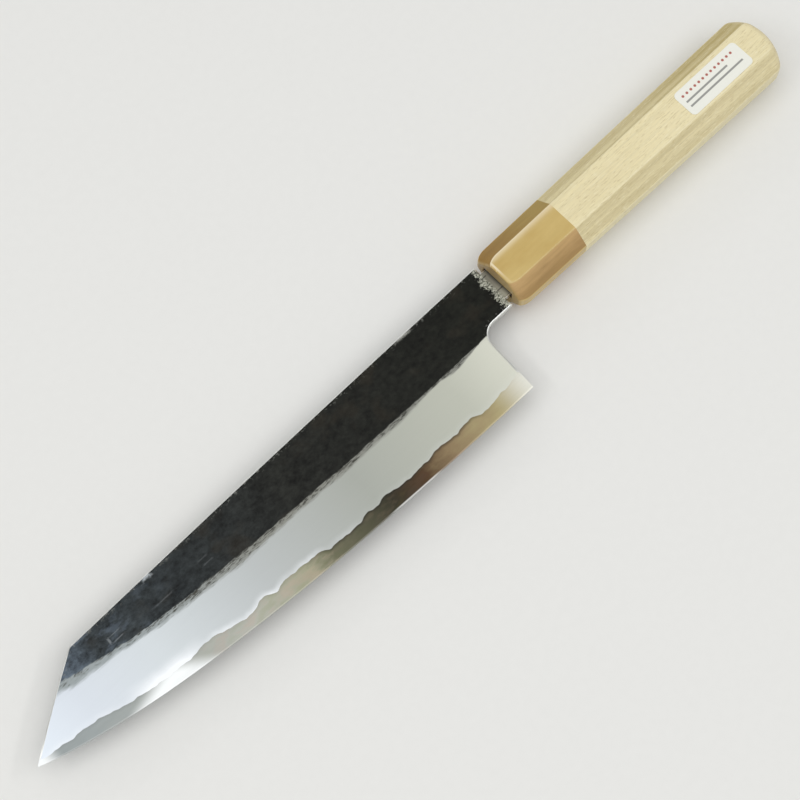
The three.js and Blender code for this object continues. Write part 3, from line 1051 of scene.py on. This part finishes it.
def onDome(p, share):
    # the dome over a point drawn towards the handle's axis
    y, z = p.y * share, p.z * share
    return Vector((domeX(y, z), y, z))


def buttRim():
    # where each line of the octagon meets the dome
    rim = []
    for k in range(ringCount):
        x = handle["length"] - handle["buttRise"] / 2
        for _ in range(handle["rimPasses"]):
            y, z = octagonRing(x)[k]
            x = domeX(y, z)
        rim.append(Vector((x, y, z)))
    return rim


def makeWood():
    start, roll = handle["ferruleLength"], handle["rimRound"]
    rim = buttRim()
    loops = [
        [(handle["slotEnd"], slotMiddle, 0)] * ringCount,
        loop(handle["slotEnd"], slotRing()),
        loop(handle["tenonFront"], slotRing()),
        loop(handle["tenonFront"], tenonRing(0)),
        loop(start, tenonRing(0)),
    ]
    kinds = [(0, 0, 0)] * len(loops)
    loops.append(loop(start, octagonRing(start)))
    for share in handle["bodyRings"]:
        xs = [mix(start, p.x - roll, share) for p in rim]
        loops.append([(x, *octagonRing(x)[k]) for k, x in enumerate(xs)])
    kinds += [(1, 0, 0)] * (len(loops) - len(kinds))
    # the rim is rolled over on to the dome
    before = [Vector((p.x - roll, *octagonRing(p.x - roll)[k])) for k, p in enumerate(rim)]
    after = [onDome(p, 1 - roll / math.hypot(p.y, p.z)) for p in rim]
    for t in evenShares(handle["rimSteps"]):
        loops.append([bezier([a, p, b], t) for a, p, b in zip(before, rim, after)])
        kinds.append((1 - eased(t), 2 * t * (1 - t), eased(t)))
    for share in handle["domeRings"]:
        loops.append([onDome(p, share) for p in after])
        kinds.append((0, 0, 1))
    return ringed("handleWood", loops, kinds)


def makeFerrule():
    length, run, mouth = handle["ferruleLength"], handle["easeHeightRun"], handle["mouthRound"]
    boreFront = handle["tenonFront"] - handle["glueGap"]
    bore = tenonRing(handle["glueGap"])
    loops = [loop(boreFront, slotRing())]
    for share in evenShares(handle["mouthRings"]):
        turn = math.pi / 2 * share
        loops.append(loop(mouth * (1 - math.sin(turn)), slotRing(mouth * (1 - math.cos(turn)))))
    for share in evenShares(handle["easeRings"]):
        x = run * (1 - math.cos(math.pi / 2 * share))
        loops.append(loop(x, easedRing(x)))
    for share in (0.5, 1):
        x = mix(run, length, share)
        loops.append(loop(x, octagonRing(x)))
    loops += [loop(length, bore), loop(boreFront, bore), loops[0]]
    # front face, its turn into the flats, the flats, then the hidden bore
    front = [(0, 0, 1)] * (handle["mouthRings"] + 3)
    turned = [(0.2, 0, 0.7), (0.5, 0, 0.4), (0.8, 0, 0.15)]
    hidden = [(0, 0, 0)] * 3
    flats = [(1, 0, 0)] * (len(loops) - len(front + turned + hidden))
    return ringed("hornFerrule", loops, front + turned + flats + hidden)


woodTones = {
    "base": [(0.3, (238, 226, 184)), (0.7, (231, 219, 174))], "rings": (204, 187, 138),
    "slant": (206, 192, 148), "heartAndShade": (179, 160, 95), "pores": (186, 166, 118), "pale": (250, 243, 214),
    "end": (196, 175, 122), "corner": (246, 238, 206),
}


# Wood: the slanting flats look darker, partly cut across the grain and partly painted shade, most of all on
# the spine side, where heartwood and painted shade show; the corners and the butt's rim carry a painted
# highlight
def woodFinish():
    finish, spot = newFinish("paleWood")
    corner, slant, end = spot.attribute("cut").parts()
    east, north = spot.offset(mouthX, axisY)
    drift = spot.cloud((9, 60, 60), detail=2)
    rings = spot.cloud((5, 90, 620), detail=4, rough=0.55)
    fine = spot.cloud((30, 1500, 2300), detail=3, shift=2.0)
    pores = spot.cloud((380, 2700, 2700), detail=2, shift=5.0)
    colour = (rings.step(0.5, 0.72) * 0.24).between(drift.ramp(woodTones["base"]), woodTones["rings"])
    # slanting flats: darker as cross grain and as painted shade
    colour = (slant * (0.15 + rings.step(0.4, 0.6) * 0.5)).between(colour, woodTones["slant"])
    # spine side, towards the butt: heartwood streaks and painted shade
    heartAndShade = slant * north.step(0, 4) * (0.2 + east.step(70, 108) * 0.4)
    colour = (heartAndShade * (0.8 + rings.step(0.38, 0.62) * 0.5)).between(colour, woodTones["heartAndShade"])
    colour = (0.87 + fine * 0.27).dim(colour)
    colour = (pores.step(0.56, 0.7) * 0.42).between(colour, woodTones["pores"])
    colour = ((1 - pores.step(0.28, 0.42)) * 0.4).between(colour, woodTones["pale"])
    colour = (end * (0.22 + rings.step(0.42, 0.6) * 0.36)).between(colour, woodTones["end"])
    # painted highlight along the softened corners and the butt's rim
    colour = (corner * 0.22).between(colour, woodTones["corner"])
    grain = (pores * 0.6 + fine * 0.4).bump(0.12, 0.00006)
    return closeFinish(finish, {
        "Base Color": colour, "Roughness": 0.46 + fine * 0.12, "Normal": grain,
        "Coat Weight": 0.35 - slant * 0.27, "Coat Roughness": 0.16, "Specular IOR Level": 0.25,
    })


hornTones = {
    "cloudy": [(0.3, (195, 165, 98)), (0.5, (204, 177, 111)), (0.72, (212, 186, 121))],
    "pinkLow": (164, 132, 88), "pinkHigh": (199, 164, 115), "brownFront": (148, 113, 52),
    "brownRear": (162, 136, 72), "front": (140, 109, 66), "light": (248, 235, 204),
}


# Horn: the slanting flats are darker, partly the fibre cut across and partly painted shade, browner on the
# spine side; painted highlights along the corners and the front edge, and a painted sheen beside the corners
def hornFinish():
    finish, spot = newFinish("paleHorn")
    corner, slant, end = spot.attribute("cut").parts()
    east, north = spot.offset(mouthX, axisY)
    spineSide = north.step(-3, 3)
    cloudy = spot.cloud((40, 110, 110), detail=4, rough=0.55)
    fibre = spot.cloud((26, 900, 900), detail=3, shift=2.0)
    streak = spot.cloud((60, 420, 420), detail=3, rough=0.6, shift=6.0)
    colour = (0.95 + fibre * 0.1).dim(cloudy.ramp(hornTones["cloudy"]))
    pink = (north + 12 + (streak - 0.5) * 4).step(1.0, 5.5)
    pink = pink.between(hornTones["pinkLow"], hornTones["pinkHigh"])
    brown = (east + (streak - 0.5) * 14).step(2, 30)
    brown = brown.between(hornTones["brownFront"], hornTones["brownRear"])
    across = (0.84 + streak * 0.32).dim(spineSide.between(pink, brown))
    # slanting flats: partly the fibre cut across, partly painted shade, browner on the spine side
    colour = (slant * (0.75 + cloudy * 0.35)).between(colour, across)
    # front face darker: end grain and painted shade, more on the spine side
    colour = (end * (0.45 + spineSide * 0.2)).between(colour, hornTones["front"])
    # painted sheen along the spine-side edge of the top and bottom flats
    glow = north.step(2.8, 5.8) ** 2 * (1 - north.step(6.4, 7.2)) * (1 - slant) * (1 - end)
    colour = (glow * 0.45).between(colour, hornTones["light"])
    # painted highlights on the softened corners and the front edge, stronger on the spine side
    lit = (1 - slant) * (0.12 + spineSide * (0.36 + (1 - east.step(8, 26)) * 0.2))
    colour = (corner.most(east.beside(1.0, 0.15, 0.55)) * lit).between(colour, hornTones["light"])
    return closeFinish(finish, {
        "Base Color": colour, "Roughness": 0.34 + fibre * 0.1, "Normal": fibre.bump(0.03, 0.00003),
        "Coat Weight": 0.5 - slant * 0.42, "Coat Roughness": 0.07, "Specular IOR Level": 0.15,
    })


def makeHandle():
    wood, horn = makeWood(), makeFerrule()
    wood.data.materials.append(woodFinish())
    horn.data.materials.append(hornFinish())
    standFor(wood, "handle_body")
    standFor(horn, "ferrule")


makeHandle()
print("handle shaped")

# Sticker: plain white paper with a dotted rule and two plain rules, measured from its middle
sticker = {
    "paperColour": (244, 244, 234), "dotStart": -12.9, "dotGap": 2.04, "dots": 13, "dotRow": 2.75,
    "dotRadius": 0.55, "dotColour": (180, 102, 90), "ruleHalf": 0.4, "ruleColour": (112, 112, 110),
    "rules": [(-13.6, 7.2, 0.2), (-13.6, 13.0, -2.0)],  # from, to, row
}


def paperFinish():
    finish, spot = newFinish("labelPaper")
    low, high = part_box("label")
    middle = (low + high) / 2
    across, up = spot.offset(middle.x, middle.y)
    fibres = spot.cloud((900, 2600, 2600), detail=3)
    colour = (0.96 + fibres * 0.06).dim(sticker["paperColour"])
    count = (across - sticker["dotStart"]) / sticker["dotGap"]
    nearest = count.maths("ROUND", count).most(0).least(sticker["dots"] - 1)
    aside = across - sticker["dotStart"] - nearest * sticker["dotGap"]
    off = (aside * aside + (up - sticker["dotRow"]) ** 2) ** 0.5
    radius, half = sticker["dotRadius"], sticker["ruleHalf"]
    colour = (1 - off.step(radius * 0.7, radius * 1.2)).between(colour, sticker["dotColour"])
    for fromX, toX, row in sticker["rules"]:
        reach = (toX - fromX) / 2
        line = across.beside((fromX + toX) / 2, reach - 0.1, reach + 0.1)
        line = line * up.beside(row, half * 0.6, half * 1.3)
        colour = (line * 0.8).between(colour, sticker["ruleColour"])
    return closeFinish(finish, {
        "Base Color": colour, "Roughness": 0.5 + fibres * 0.1, "Normal": fibres.bump(0.05, 0.00003),
        "Coat Weight": 0.3, "Coat Roughness": 0.2,
    })


fillingTones = {"filler": (48, 38, 30), "resin": [(0.3, (150, 124, 76)), (0.7, (180, 152, 98))]}


# dark glue at the ferrule's mouth; its dark colour also stands in for the shade in the slot
def fillerFinish():
    finish, spot = newFinish("darkFillerShade")
    grit = spot.cloud((1500, 1500, 1500), detail=3)
    return closeFinish(finish, {
        "Base Color": (0.6 + grit * 0.8).dim(fillingTones["filler"]), "Roughness": 0.7 + grit * 0.2,
        "Normal": grit.bump(0.3, 0.0001),
    })


def beddingFinish():
    finish, spot = newFinish("setResin")
    swirl = spot.cloud((120, 260, 260), detail=3)
    return closeFinish(finish, {
        "Base Color": swirl.ramp(fillingTones["resin"]), "Roughness": 0.35 + swirl * 0.2,
        "Normal": swirl.bump(0.1, 0.0001),
    })


nodeFinishes = {"label": paperFinish, "mouth_seal": fillerFinish, "tang_bedding": beddingFinish}
for nodeName, makeFinish in nodeFinishes.items():
    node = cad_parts[nodeName]
    node.data.materials.clear()
    node.data.materials.append(makeFinish())
print("sticker and fillings finished")

bpy.ops.object.select_all(action="DESELECT")
